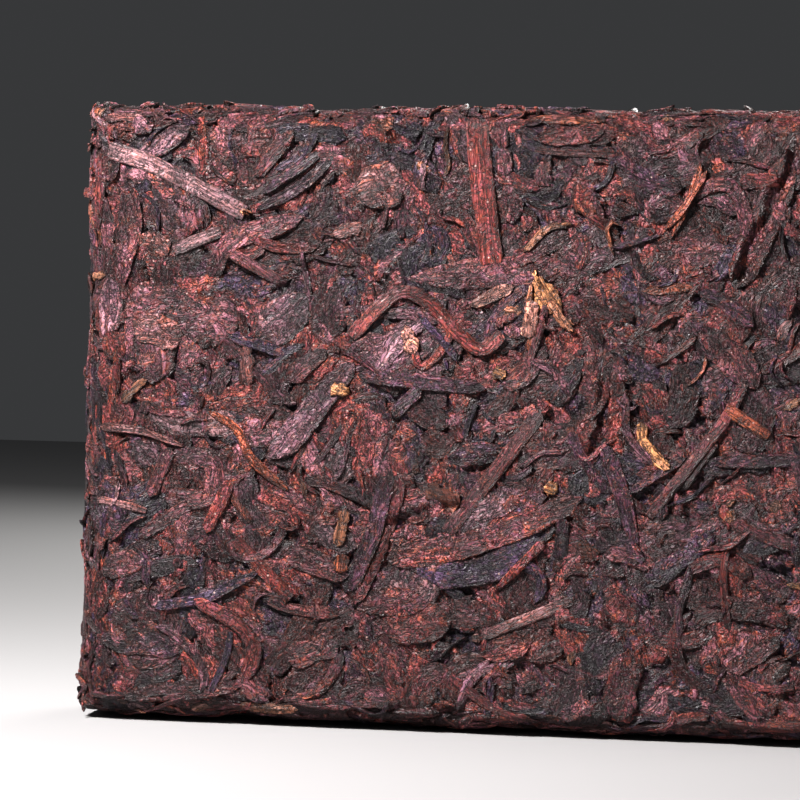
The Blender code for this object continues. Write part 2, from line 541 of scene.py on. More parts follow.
# The pieces that stand out on the front, by kind, in the order in which they are laid. Each has its tone,
# width and lift, and the places that it passes through: how far from the left end and how high above the base.
FRONT_PIECES = {
    "crumpled_leaves": (
        ("mauve", 7.6, 0.0, (7.9, 62.0), (15.3, 60.2), (24.6, 58.6)),
        ("terracotta", 5.0, 0.0, (9.0, 58.0), (16.3, 57.0)),
    ),
    "broad_leaves": (
        ("grey_mauve", 5.0, 0.0, (4.6, 65.4), (4.1, 56.5)),
        ("mauve", 4.0, 0.0, (7.7, 79.1), (7.2, 64.4)),
        ("grey_mauve", 6.0, 0.1, (27.4, 55.6), (34.9, 63.5)),
        ("terracotta", 6.5, 0.1, (41, 78.2), (48.6, 80.6)),
        ("mauve", 5.5, 0.0, (38.5, 66.4), (37.5, 56.6)),
        ("mauve", 4.6, 0.1, (49.6, 66), (61.7, 67), (73.3, 68)),
        ("mauve", 5.4, 0.1, (94, 59.7), (100.6, 51.4)),
        ("rosewood", 5.6, 0.1, (47.1, 15.5), (57.2, 16.5)),
        ("umber", 4.4, 0.0, (42.6, 18.9), (53.7, 18.9)),
        ("charcoal", 3.8, 0.0, (56.2, 40), (64.3, 41.3)),
        ("rosewood", 3.4, 0.1, (67.7, 86.6), (77.8, 88)),
        ("grey_mauve", 3.9, 0.0, (9.2, 41.4), (12.7, 37.9)),
        ("mauve", 3.9, 0.0, (4.2, 22.2), (11.2, 23.7)),
        ("rosewood", 4.2, 0.0, (3.6, 22.2), (3.8, 14.4)),
        ("rosewood", 4.4, 0.0, (4.6, 57.5), (6.7, 53.1)),
        ("rosewood", 3.8, 0.0, (97.5, 63.6), (98.2, 57.7)),
        ("rosewood", 3.6, 0.0, (68.4, 11.4), (73.9, 14.2)),
        ("rosewood", 3.8, 0.0, (61.8, 11.8), (68.9, 13.6)),
        ("charcoal", 4.0, 0.0, (3.6, 12), (10.2, 11.9), (16.8, 10.5)),
        ("umber", 3.6, 0.0, (8.2, 3.1), (26.4, 6.1)),
        ("mauve", 3.2, 0.2, (64, 80.7), (65, 74.3)),
        ("charcoal", 3.2, 0.0, (75.6, 55.7), (71.4, 47.9)),
        ("umber", 5.0, 0.4, (81.6, 2.3), (83.2, 13.1)),
        ("umber", 5.4, 0.2, (104.5, 85.2), (101.5, 75.4), (97, 65.6)),
    ),
    "folded_leaves": (
        ("grey_mauve", 4.4, 0.2, (42, 53.7), (36, 46.6), (29.9, 39.5)),
        ("blue_black", 4.0, 0.2, (54.7, 22.9), (63.8, 24.5), (71.3, 32)),
        ("umber", 3.8, 0.2, (47.6, 25.1), (62.1, 28.5), (75.9, 35)),
        ("rosewood", 3.5, 0.1, (48.8, 37.3), (46, 27.2), (42.6, 18.2)),
        ("mauve", 3.1, 0.2, (20.3, 65.6), (24, 71.3), (33.9, 74.8)),
        ("mauve", 3.2, 0.1, (14.3, 33), (20.9, 33.5), (21.3, 38.6), (15.3, 39.9)),
        ("umber", 3.0, 0.0, (65, 68.9), (73.1, 72.9)),
        ("charcoal", 2.8, 0.1, (47.6, 38.3), (45.1, 27.8), (41.4, 20.2)),
        ("charcoal", 2.9, 0.1, (78.5, 85.4), (83.9, 80.9), (89.2, 79.6)),
        ("mauve", 3.5, 0.0, (32.5, 25.5), (41.9, 22.6)),
        ("umber", 4.0, 0.0, (33.2, 9.8), (40.6, 12.7)),
        ("mauve", 2.9, 0.0, (32.4, 50.7), (37.7, 55.6)),
        ("umber", 2.7, 0.2, (97.8, 10.7), (104.6, 15.6)),
    ),
    "rolled_strips": (
        ("umber", 2.4, 0.1, (26.7, 80.6), (32.2, 87.5)),
        ("charcoal", 2.0, 0.1, (26.9, 75.7), (33.4, 79.1), (38.2, 83.8)),
        ("charcoal", 1.6, 0.1, (27.9, 78.2), (36.4, 84.3)),
        ("blue_black", 1.9, 0.2, (23.5, 57.3), (32.2, 54.7)),
        ("blue_black", 1.8, 0.2, (12.9, 17), (20.8, 18.9), (28.3, 22.5)),
        ("charcoal", 2.4, 0.2, (42.7, 51.9), (52, 51.1), (61.4, 50.3)),
        ("charcoal", 2.1, 0.1, (47.2, 45.7), (52.1, 50)),
        ("charcoal", 2.6, 0.2, (78.6, 43), (81.5, 36), (84, 28.1)),
        ("charcoal", 2.4, 0.1, (92, 64.8), (95.6, 63.5), (99.9, 60.2)),
        ("mauve", 2.1, 0.1, (90.6, 78.5), (93.9, 80.2), (97.2, 79.1), (99, 72.2)),
        ("charcoal", 2.0, 0.1, (94.8, 40.3), (107.7, 41.3)),
        ("umber", 2.1, 0.1, (90, 36.5), (95, 44)),
        ("charcoal", 2.3, 0.1, (87, 37.4), (87.4, 32.1)),
        ("rosewood", 2.3, 0.1, (91.1, 24.7), (95.7, 26.6), (100.5, 24.5)),
        ("umber", 2.2, 0.0, (74.3, 62.8), (78.2, 57.3)),
        ("rosewood", 2.3, 0.0, (97.4, 80.8), (103.6, 81)),
        ("mauve", 2.2, 0.1, (14.8, 40.6), (11.9, 33.2)),
        ("mauve", 2.5, 0.1, (10.2, 27.3), (18.2, 32)),
        ("rosewood", 2.1, 0.1, (20.6, 28.2), (24.1, 36.2)),
        ("rosewood", 2.4, 0.2, (19, 18.3), (25.4, 14.9), (28, 11.1), (26.8, 6.6)),
        ("charcoal", 2.2, 0.0, (73.2, 32), (72.9, 25.6)),
        ("blush", 2.0, 0.0, (58.9, 62.3), (65.3, 65.2)),
        ("umber", 2.1, 0.1, (62.2, 81.4), (68.7, 79.3)),
        ("mauve", 2.7, 0.0, (62.3, 90), (63.3, 84.9)),
        ("mauve", 2.6, 0.0, (63.3, 85.1), (63.7, 81.2)),
        ("tan", 2.7, 0.2, (25.6, 1.3), (34.7, 2.1)),
        ("rosewood", 2.6, 0.2, (89.1, 2.1), (94.9, 4)),
        ("rosewood", 2.5, 0.1, (96.2, 2.3), (109.3, 2.5)),
        ("umber", 2.4, 0.1, (48.7, 1.9), (55.7, 2.4)),
        ("rosewood", 2.3, 0.1, (60.3, 2.1), (68.9, 2.2)),
        ("rust", 2.2, 0.2, (67.2, 90.6), (77.8, 90.2)),
        ("terracotta", 2.0, 0.1, (2.6, 89.8), (9.7, 89.5)),
    ),
    "thin_strips": (
        ("tan", 1.0, 0.3, (66.6, 70.2), (70.1, 73.7), (73.6, 74.3)),
        ("rust", 1.1, 0.3, (91.8, 83.2), (90.5, 78.3), (87.9, 72.6)),
        ("rust", 1.0, 0.3, (92.7, 82.2), (89.5, 76.8), (87.1, 73.9)),
        ("rosewood", 0.8, 0.3, (85.2, 59.5), (87.8, 61.4), (89.8, 61.6)),
        ("rosewood", 1.3, 0.3, (50.6, 56.7), (51.9, 53.3), (55, 55.7), (56.9, 60)),
        ("rust", 1.4, 0.3, (20.6, 46), (24.9, 43.4), (27.4, 39), (32.7, 34.7)),
        ("terracotta", 1.2, 0.3, (2.9, 43.4), (10.2, 42.9), (16.9, 40.8)),
        ("rosewood", 1.3, 0.2, (63.6, 21), (70.6, 28.5)),
        ("charcoal", 1.3, 0.2, (82.7, 35.9), (90.6, 41.1)),
        ("rosewood", 1.6, 0.1, (6.2, 54.1), (6.2, 48.3)),
    ),
    "stems": (
        ("pale_mauve", 2.6, 0.3, (3.6, 84.4), (11.2, 82.2), (25.3, 75.2)),
        ("rosewood", 3.5, 0.2, (59.2, 90.2), (60.5, 79.2), (62, 68.4)),
        (
            "rosewood", 2.2, 0.3,
            (41.5, 57.6),
            (48.1, 63.9),
            (52.6, 62.9),
            (57, 58.6),
            (60.7, 55.9),
            (63.7, 58.3),
        ),
        ("umber", 2.3, 0.3, (69.8, 47.4), (63.4, 38.7), (56.3, 29.4)),
        ("mauve", 1.8, 0.3, (23.5, 69.3), (31.5, 64.9)),
        ("pale_mauve", 1.9, 0.2, (14.8, 69.6), (21.7, 72.5)),
        ("rosewood", 2.0, 0.3, (25.1, 27.3), (33.4, 18.9)),
        ("terracotta", 1.7, 0.2, (62, 14.5), (74.8, 20)),
        ("umber", 1.8, 0.3, (98.8, 51.9), (96, 46.2), (93, 42.3), (85.6, 32.5)),
        ("rust", 1.8, 0.2, (96.3, 48.3), (102.4, 44.5)),
    ),
    "golden_buds": (
        ("gold", 2.6, 0.3, (68.4, 66.5), (69.8, 64.4), (71.6, 61.6)),
        ("tan", 1.7, 0.3, (70.6, 63.2), (72.4, 60.8), (73.9, 59.2)),
        ("tan", 0.8, 0.3, (67.9, 65.6), (67.6, 62.6), (68.6, 60.4)),
        ("blush", 2.2, 0.2, (68, 63.2), (67.8, 57.7)),
        ("gold", 1.9, 0.3, (84.1, 46), (84.6, 42.8), (88.4, 39.5)),
        ("gold", 1.7, 0.3, (38.8, 50.1), (41.5, 49.2)),
        ("tan", 1.5, 0.2, (7, 47.3), (11, 50.4)),
        ("terracotta", 2.2, 0.2, (25.7, 55.6), (26.3, 49.9)),
        ("terracotta", 2.3, 0.2, (38.5, 72.3), (42.7, 73.5)),
        ("tan", 1.9, 0.2, (41.3, 32.1), (40.2, 26.8)),
        ("rust", 2.0, 0.1, (41, 25.7), (40.8, 22.9)),
        ("rust", 3.2, 0.1, (53.1, 35.5), (58.1, 33.7)),
        ("gold", 1.8, 0.3, (62.5, 52.8), (64.4, 52.2)),
        ("gold", 1.8, 0.3, (70.4, 36.4), (72.3, 35.8)),
    ),
    "torn_flakes": (
        ("terracotta", 3.6, 0.1, (16.9, 88.5), (19.5, 85.6)),
        ("rust", 3.6, 0.1, (43.5, 89.3), (46.9, 88.2)),
        ("grey_mauve", 3.0, 0.3, (8.4, 89.3), (10.8, 86.9)),
        ("terracotta", 3.8, 0.1, (9.8, 71.8), (13.8, 68.9)),
        ("blush", 2.2, 0.2, (49.6, 59.2), (51, 55.1)),
        ("rust", 3.0, 0.1, (75.7, 28.9), (78.1, 26)),
        ("charcoal", 3.4, 0.1, (44.6, 47.8), (47.4, 44.9)),
        ("rosewood", 2.4, 0.1, (2.5, 27.1), (4.6, 25.4)),
    ),
}

# Torn ends, where a stem frays into short fibres: where, which way in degrees, and the tone.
FRAYED_ENDS = (
    ((25.0, 75.6), -30, "tan"),
    ((70.0, 47.0), 50, "rosewood"),
    ((68.6, 66.2), 115, "gold"),
    ((73.4, 59.6), -50, "tan"),
    ((83.6, 28.4), -75, "rosewood"),
)
FIBRES = 4
FIBRE_ROWS = 7

# How much finer a net the front pieces have than the scattered ones, and the share of their lift that they get.
SHOW_FINENESS = 1.5
SHOW_LIFT = 0.4

# Bits along the edges: how many, the share that are hairs, and how near the base none stand up.
EDGE_BITS = 430
HAIR_SHARE = 0.3
BASE_CLEARANCE = 1.5


def lay_front_pieces():
    """Lays the pieces that stand out on the front, and marks their places so that little lies over them."""
    facing = np.array((0.0, -1.0, 0.0))
    for kind, pieces in FRONT_PIECES.items():
        spacing = KINDS[kind][3]
        for tone, width, lift, *through in pieces:
            points = [(x - HALF[0], -HALF[1], z - HALF[2]) for x, z in through]
            reach = sum(math.dist(a, b) for a, b in zip(points, points[1:]))
            rows = max(SHORTEST_ROWS + 2, int(round(reach / spacing * SHOW_FINENESS)))
            spine = spine_through(points, rows)
            places = lay(kind, spine, facing, width, tone_place(tone), lift * SHOW_LIFT, SHOW_FINENESS)
            points = np.stack([between(places[..., axis]) for axis in range(3)], axis=-1)
            showpieces[pile_cells(points)] = True


def lay_frayed_ends():
    """A small fan of fibres at each torn end."""
    facing = np.array((0.0, -1.0, 0.0))
    for (x, z), degrees, tone in FRAYED_ENDS:
        end = np.array((x - HALF[0], -HALF[1], z - HALF[2]))
        for _ in range(FIBRES):
            angle = math.radians(degrees + rng.normal(0, 18))
            along = np.array((math.cos(angle), 0, math.sin(angle)))
            length = rng.uniform(0.9, 1.8)
            middle = end + along * length * 0.35 + rng.normal(0, 0.25, 3)
            spine = wandering_spine(middle, along, np.cross(facing, along), length, 0.3, FIBRE_ROWS)
            width = rng.uniform(0.2, 0.4)
            lay("thin_strips", spine, facing, width, tone_place(tone), rng.uniform(0.0, 0.15))


def lay_edge_bits():
    """Broken bits and hairs that stand up along the brick's edges, where the mould's parts met."""
    for _ in range(EDGE_BITS):
        axis = rng.choice((0, 2), p=(0.36, 0.64))
        spot = rng.uniform(-1, 1, 3) * HALF
        spot[axis] = math.copysign(HALF[axis], spot[axis])
        spot[1] = math.copysign(HALF[1] * rng.uniform(0.55, 1), spot[1])
        middle, facing = on_brick(spot)
        if middle[2] < -HALF[2] + BASE_CLEARANCE:
            continue
        wild = rng.normal(size=3)
        along = unit(wild - facing * np.dot(wild, facing))
        hair = rng.uniform() < HAIR_SHARE
        length = rng.uniform(2.0, 5.0) if hair else rng.uniform(1.2, 3.5)
        width = rng.uniform(0.18, 0.4) if hair else rng.uniform(0.6, 2.0)
        spine = wandering_spine(middle, along, np.cross(facing, along), length, 0.7, SHORTEST_ROWS + 1)
        kind = "thin_strips" if hair else "torn_flakes"
        lay(kind, spine, facing, width, pick_tone(CRUMB_MIX), proud=rng.uniform(0.2, 0.95) ** 2)


def lay_all():
    scatter("broad_leaves", 0.35, (7, 16), (3.5, 7.5), LEAF_MIX)
    scatter("crumpled_leaves", 0.9, (6, 15), (3.5, 8.0), LEAF_MIX)
    scatter("folded_leaves", 0.7, (6, 16), (2.0, 4.2), LEAF_MIX, (-0.1, 0.0))
    scatter("rolled_strips", 0.6, (5, 16), (1.0, 2.4), STRIP_MIX, (-0.15, 0.0))
    lay_front_pieces()
    lay_frayed_ends()
    scatter("torn_flakes", 2.6, (1.2, 4.5), (0.8, 2.8), CRUMB_MIX, (-0.15, -0.02))
    scatter("rolled_strips", 0.5, (4, 14), (0.9, 1.9), STRIP_MIX, (-0.2, 0.0))
    scatter("stems", 0.2, (6, 18), (0.8, 1.7), STEM_MIX, (-0.15, 0.05))
    scatter("thin_strips", 2.0, (2, 9), (0.4, 1.0), STRIP_MIX, (-0.15, 0.0))
    scatter("golden_buds", 0.06, (2.0, 4), (0.7, 1.4), BUD_MIX, (-0.1, 0.0))
    lay_edge_bits()


# ---------------------------------------------------------------- meshes


def tube_faces(rows, ring):
    """Faces of a closed tube of rings with a pole at each end.

    With each face comes the row and column of its corners on the unrolled skin.
    """
    i, j = (grid.ravel() for grid in np.meshgrid(np.arange(rows - 1), np.arange(ring), indexing="ij"))
    k = (j + 1) % ring
    quads = np.stack((i * ring + j, (i + 1) * ring + j, (i + 1) * ring + k, i * ring + k), axis=-1)
    quad_spots = np.stack((i + 1, j, i + 2, j, i + 2, j + 1, i + 1, j + 1), axis=-1).reshape(-1, 4, 2)
    j = np.arange(ring)
    k = (j + 1) % ring
    last = (rows - 1) * ring
    near = np.stack((np.full(ring, rows * ring), j, k), axis=-1)
    far = np.stack((np.full(ring, rows * ring + 1), last + k, last + j), axis=-1)
    near_spots = np.stack((0 * j, j + 0.5, 0 * j + 1, j, 0 * j + 1, j + 1), axis=-1).reshape(-1, 3, 2)
    top = 0 * j + rows
    far_spots = np.stack((top + 1, j + 0.5, top, j + 1, top, j), axis=-1).reshape(-1, 3, 2)
    return quads, quad_spots, np.vstack((near, far)), np.vstack((near_spots, far_spots))


def shelf_corners(sizes):
    """Corners for rectangles set in rows in a square, and the square's side."""
    order = np.argsort(-sizes[:, 1])
    side = math.sqrt((sizes[:, 0] * sizes[:, 1]).sum()) * 1.01
    while True:
        corners = np.zeros_like(sizes)
        x = y = shelf = 0.0
        for island in order:
            wide, tall = sizes[island]
            if x + wide > side:
                x, y, shelf = 0.0, y + shelf, 0.0
            corners[island] = x, y
            x += wide
            shelf = max(shelf, tall)
        if y + shelf <= side:
            return corners, side
        side *= 1.01


# The map for baking, in millimetres: the gap between pieces, the room for a piece's ends, and the share of
# its width that each strip of its underside takes.
ISLAND_GAP = 0.35
END_MARGIN = 0.4
UNDERSIDE_STRIP = 0.12
# How far the ends of a piece come to a point, how clear of the base it stays, and the angle of a sharp edge.
POINT_REACH = 0.15
LEAST_HEIGHT = 0.02
SHARP_ANGLE = math.radians(28)


def heap_mesh(name, heap):
    """One mesh of all the pieces of a kind, with its grain, its look and its map for baking."""
    vertices, faces, corner_uvs, grains, looks = [], [], [], [], []
    triangles, triangle_uvs = [], []
    wide = [piece["width"] + ISLAND_GAP for piece in heap]
    tall = [piece["run"][-1] + 2 * END_MARGIN + ISLAND_GAP for piece in heap]
    sizes = np.stack((wide, tall), axis=-1)
    corners, side = shelf_corners(sizes)
    start = 0
    for piece, corner in zip(heap, corners):
        rings = piece["rings"]
        rows, ring = rings.shape[:2]
        quads, quad_spots, ends, end_spots = tube_faces(rows, ring)
        middles = rings.mean(axis=1)
        near = middles[0] + unit(middles[0] - middles[1]) * POINT_REACH
        far = middles[-1] + unit(middles[-1] - middles[-2]) * POINT_REACH
        points = np.vstack((rings.reshape(-1, 3), near, far))
        points[:, 2] = np.maximum(points[:, 2], -HALF[2] + LEAST_HEIGHT)
        vertices.append(points)
        faces.append(quads + start)
        triangles.append(ends + start)
        start += len(points)
        top = ring - 2
        under_columns = 1 - UNDERSIDE_STRIP * np.array((2, 1, 0))
        columns = np.concatenate((np.linspace(0, 1 - 3 * UNDERSIDE_STRIP, top), under_columns))
        along = np.concatenate(([0], END_MARGIN + piece["run"], [2 * END_MARGIN + piece["run"][-1]]))
        for spots, store in ((quad_spots, corner_uvs), (end_spots, triangle_uvs)):
            x = np.interp(spots[..., 1], np.arange(ring + 1), columns) * piece["width"]
            y = along[spots[..., 0].astype(int)]
            store.append((np.stack((x, y), axis=-1) + corner + ISLAND_GAP / 2) / side)
        run = np.repeat(piece["run"], ring)
        grain = np.stack((piece["across"].ravel(), run, np.full(len(run), piece["seed"])), axis=-1)
        grains.append(np.vstack((grain, grain[0], grain[-1])))
        rim = np.concatenate((piece["rim"].ravel(), (1, 1)))
        # How high each point lies once pressed, from the core up; low places get painted shade from it.
        depth = np.concatenate((pressed(piece["height"]).ravel(), (CORE_LEVEL, CORE_LEVEL)))
        depth = (depth - CORE_LEVEL) / (PRESSED_TOP - CORE_LEVEL)
        looks.append(np.stack((np.full(len(rim), piece["tone"]), rim, np.clip(depth, 0, 1)), axis=-1))
    mesh = bpy.data.meshes.new(name)
    places = (np.vstack(vertices) + MIDDLE) * MM
    quads, triangles = np.vstack(faces), np.vstack(triangles)
    mesh.from_pydata(places, [], quads.tolist() + triangles.tolist())
    uvs = np.concatenate([np.vstack(store).reshape(-1, 2) for store in (corner_uvs, triangle_uvs)])
    finish_mesh(mesh, uvs, np.vstack(grains), np.vstack(looks))
    return mesh


def finish_mesh(mesh, uvs, grains, looks):
    """Gives a mesh its map for baking, its grain and look, and its sharp edges."""
    layer = mesh.uv_layers.new(name="OFBake")
    layer.data.foreach_set("uv", uvs.astype(np.float32).ravel())
    for name, values in (("grain", grains), ("look", looks)):
        attribute = mesh.attributes.new(name, "FLOAT_VECTOR", "POINT")
        attribute.data.foreach_set("vector", values.astype(np.float32).ravel())
    mesh.shade_smooth()
    mesh.set_sharp_from_angle(angle=SHARP_ANGLE)
    mesh.validate()


def add_piece(name, mesh, material):
    """A finished piece of the brick, at the origin."""
    piece = bpy.data.objects.new(name, mesh)
    bpy.context.scene.collection.objects.link(piece)
    mesh.materials.clear()
    mesh.materials.append(material)
    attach(piece, "root")
    return piece


# ---------------------------------------------------------------- node helpers


def feed(tree, node, feeds):
    """Sets a node's sockets to values, or links them to other nodes' outputs."""
    for socket, value in feeds.items():
        target = node.inputs[socket]
        if isinstance(value, bpy.types.NodeSocket):
            tree.links.new(value, target)
        else:
            target.default_value = value


def put(tree, kind, feeds=None, **settings):
    """Adds a node with its settings, and feeds its sockets."""
    node = tree.nodes.new(kind)
    for key, value in settings.items():
        setattr(node, key, value)
    feed(tree, node, feeds or {})
    return node


def maths(tree, operation, *values):
    return put(tree, "ShaderNodeMath", dict(enumerate(values)), operation=operation).outputs[0]


def product(tree, *values):
    result = values[0]
    for value in values[1:]:
        result = maths(tree, "MULTIPLY", result, value)
    return result


def weighted_sum(tree, *pairs):
    """The sum of each value times its weight."""
    total = 0.0
    for value, weight in pairs:
        total = maths(tree, "MULTIPLY_ADD", value, weight, total)
    return total


def ramp(tree, value, *stops):
    """A colour for each value from 0 to 1, from stops of a place and a colour."""
    node = put(tree, "ShaderNodeValToRGB", {0: value})
    for place, _ in stops[2:]:
        node.color_ramp.elements.new(place)
    for element, (place, colour) in zip(node.color_ramp.elements, sorted(stops)):
        element.position = place
        element.color = (*colour, 1.0)
    return node.outputs[0]


def blend_colours(tree, kind, amount, first, second):
    node = put(tree, "ShaderNodeMix", data_type="RGBA", blend_type=kind)
    for socket, value in ((0, amount), (6, first), (7, second)):
        if isinstance(value, bpy.types.NodeSocket):
            tree.links.new(value, node.inputs[socket])
        else:
            node.inputs[socket].default_value = value
    return node.outputs[2]


def darkened(tree, colour, shade):
    return blend_colours(tree, "MULTIPLY", 1.0, colour, shade)


def new_group(name, inputs, outputs):
    """An empty shader group, with the sockets that it is given and those that it feeds."""
    group = bpy.data.node_groups.new(name, "ShaderNodeTree")
    for socket, kind, default in inputs:
        made = group.interface.new_socket(socket, in_out="INPUT", socket_type=kind)
        if default is not None:
            made.default_value = default
    for socket, kind in outputs:
        group.interface.new_socket(socket, in_out="OUTPUT", socket_type=kind)
    return group, put(group, "NodeGroupInput").outputs, put(group, "NodeGroupOutput").inputs


# ---------------------------------------------------------------- finishes

# How wide the flakes of the core are. They are about three times as long.
FLAKE_SIZE = 2.4
# How close the dry fibres in a leaf's skin lie: across it, along it, and from leaf to leaf.
FIBRES_PER_MM = (2.8, 1.9, 1.0)

LEAF_COLOURS = {
    "blue_black": (0.050, 0.027, 0.066),
    "charcoal": (0.082, 0.027, 0.045),
    "umber": (0.136, 0.028, 0.030),
    "rosewood": (0.225, 0.036, 0.029),
    "mauve": (0.205, 0.060, 0.071),
    "grey_mauve": (0.250, 0.108, 0.142),
    "pale_mauve": (0.420, 0.215, 0.230),
    "terracotta": (0.300, 0.108, 0.100),
    "rust": (0.380, 0.082, 0.036),
    "tan": (0.480, 0.190, 0.095),
    "blush": (0.560, 0.240, 0.200),
    "gold": (0.820, 0.345, 0.140),
}
# A rust colour for patches on the leaf, and for a painted highlight along its rims.
RUST_AND_RIM_HIGHLIGHT = (0.470, 0.096, 0.036, 1)
SLATE = (0.106, 0.052, 0.112, 1)
# The colour of the pale specks: partly dusty specks, partly painted glints.
DUST_AND_GLINT = (0.560, 0.360, 0.320, 1)


def noise(tree, vector, scale, detail=2.0, roughness=0.55, distortion=0.0, colour=False):
    feeds = {"Vector": vector, "Scale": scale, "Detail": detail, "Roughness": roughness}
    feeds["Distortion"] = distortion
    return put(tree, "ShaderNodeTexNoise", feeds).outputs[int(colour)]


def cells(tree, vector, scale, output="Distance", feature="F1"):
    feeds = {"Vector": vector, "Scale": scale}
    return put(tree, "ShaderNodeTexVoronoi", feeds, feature=feature).outputs[output]


def vector_maths(tree, operation, *values):
    return put(tree, "ShaderNodeVectorMath", dict(enumerate(values)), operation=operation).outputs[0]


def scaled(tree, vector, size):
    return put(tree, "ShaderNodeVectorMath", {0: vector, "Scale": size}, operation="SCALE").outputs[0]


def first_of(tree, vector):
    return put(tree, "ShaderNodeSeparateXYZ", {0: vector}).outputs[0]


def span(tree, value, low, high, to_low, to_high):
    feeds = {"Value": value, "From Min": low, "From Max": high, "To Min": to_low, "To Max": to_high}
    return put(tree, "ShaderNodeMapRange", feeds).outputs[0]


def wavering(tree, place, scale, reach):
    """The place moved about by noise, so that straight edges in a pattern of it waver."""
    swirl = vector_maths(tree, "SUBTRACT", noise(tree, place, scale, 2.0, colour=True), (0.5, 0.5, 0.5))
    return vector_maths(tree, "ADD", place, scaled(tree, swirl, reach))


def matted(tree, place):
    """Flakes of leaf matted together, tilted and lying different ways, for places in flake widths.

    Gives how far in from a crack a place is, a number from 0 to 1 for each flake, the flake's tilt as a
    height, and the place as seen along its flake.
    """
    bent = wavering(tree, place, 0.5, 1.9)
    turn = maths(tree, "MULTIPLY", first_of(tree, cells(tree, bent, 0.3, "Color")), 2 * math.pi)
    feeds = {"Vector": bent, "Angle": turn}
    turned = put(tree, "ShaderNodeVectorRotate", feeds, rotation_type="Y_AXIS").outputs[0]
    along = vector_maths(tree, "MULTIPLY", turned, (0.32, 1.0, 1.0))
    crack = cells(tree, along, 0.9, feature="DISTANCE_TO_EDGE")
    flake = put(tree, "ShaderNodeTexVoronoi", {"Vector": along, "Scale": 0.9}).outputs
    from_middle = vector_maths(tree, "SUBTRACT", along, flake["Position"])
    slope = vector_maths(tree, "SUBTRACT", flake["Color"], (0.5, 0.5, 0.5))
    feeds = {0: from_middle, 1: slope}
    tilt = put(tree, "ShaderNodeVectorMath", feeds, operation="DOT_PRODUCT").outputs["Value"]
    return span(tree, crack, 0.0, 0.07, 0.0, 1.0), first_of(tree, flake["Color"]), tilt, along


def near_middle(tree, value, width):
    """0 where a noise crosses its middle value, in winding lines, and 1 further from there than the width."""
    away = maths(tree, "ABSOLUTE", maths(tree, "SUBTRACT", value, 0.5))
    return span(tree, away, 0.0, width, 0.0, 1.0)


# How wide the creases along the folds and the cracks across a leaf are, in the noise that they follow.
CREASE_WIDTH = 0.06
CRACK_LINE_WIDTH = 0.05


def creased_shade(tree, crease, cracks):
    """Painted shade: dark in the creases and the cracks, and a little over 1 between them."""
    return product(tree, span(tree, crease, 0.1, 1.0, 0.2, 1.08), span(tree, cracks, 0.15, 1.0, 0.1, 1.08))


def leaf_surface_group():
    """The skin of a pressed leaf, in millimetres: folds along it, winding creases and cracks, and dry fibres.

    Shade is the same detail as a darkening or lightening from 1: painted shade in the creases and cracks, and
    lighter where the folds and fibres stand higher.
    """
    group, given, wanted = new_group(
        "pressed leaf skin",
        (
            ("Grain", "NodeSocketVector", None),
            ("Folds per mm", "NodeSocketFloat", 0.9),
            ("Stretch", "NodeSocketFloat", 0.25),
            ("Fold Depth", "NodeSocketFloat", 0.8),
            ("Crease Depth", "NodeSocketFloat", 0.24),
            ("Grain Depth", "NodeSocketFloat", 0.2),
        ),
        (("Height", "NodeSocketFloat"), ("Shade", "NodeSocketFloat"), ("Patch", "NodeSocketFloat")),
    )
    place = scaled(group, put(group, "ShaderNodeTexCoord").outputs["Object"], 1 / MM)
    lengthways = maths(group, "MULTIPLY", given["Folds per mm"], given["Stretch"])
    scale = put(group, "ShaderNodeCombineXYZ", {0: given["Folds per mm"], 1: lengthways, 2: 1.0}).outputs[0]
    along = vector_maths(group, "MULTIPLY", given["Grain"], scale)
    folds = noise(group, along, 1.0, 4.0, 0.62, 0.9)
    fibres = vector_maths(group, "MULTIPLY", given["Grain"], FIBRES_PER_MM)
    grit = noise(group, fibres, 1.0, 1.0, 0.8, 0.5)
    crease = near_middle(group, folds, CREASE_WIDTH)
    cracks = near_middle(group, noise(group, place, 0.62, 3.0, 0.62, 1.6), CRACK_LINE_WIDTH)
    height = weighted_sum(
        group,
        (folds, given["Fold Depth"]),
        (maths(group, "MINIMUM", crease, cracks), given["Crease Depth"]),
        (grit, given["Grain Depth"]),
    )
    shade = product(
        group,
        creased_shade(group, crease, cracks),
        span(group, grit, 0.33, 0.67, 0.68, 1.32),
        span(group, folds, 0.35, 0.65, 0.75, 1.25),
    )
    group.links.new(height, wanted["Height"])
    group.links.new(shade, wanted["Shade"])
    group.links.new(folds, wanted["Patch"])
    return group


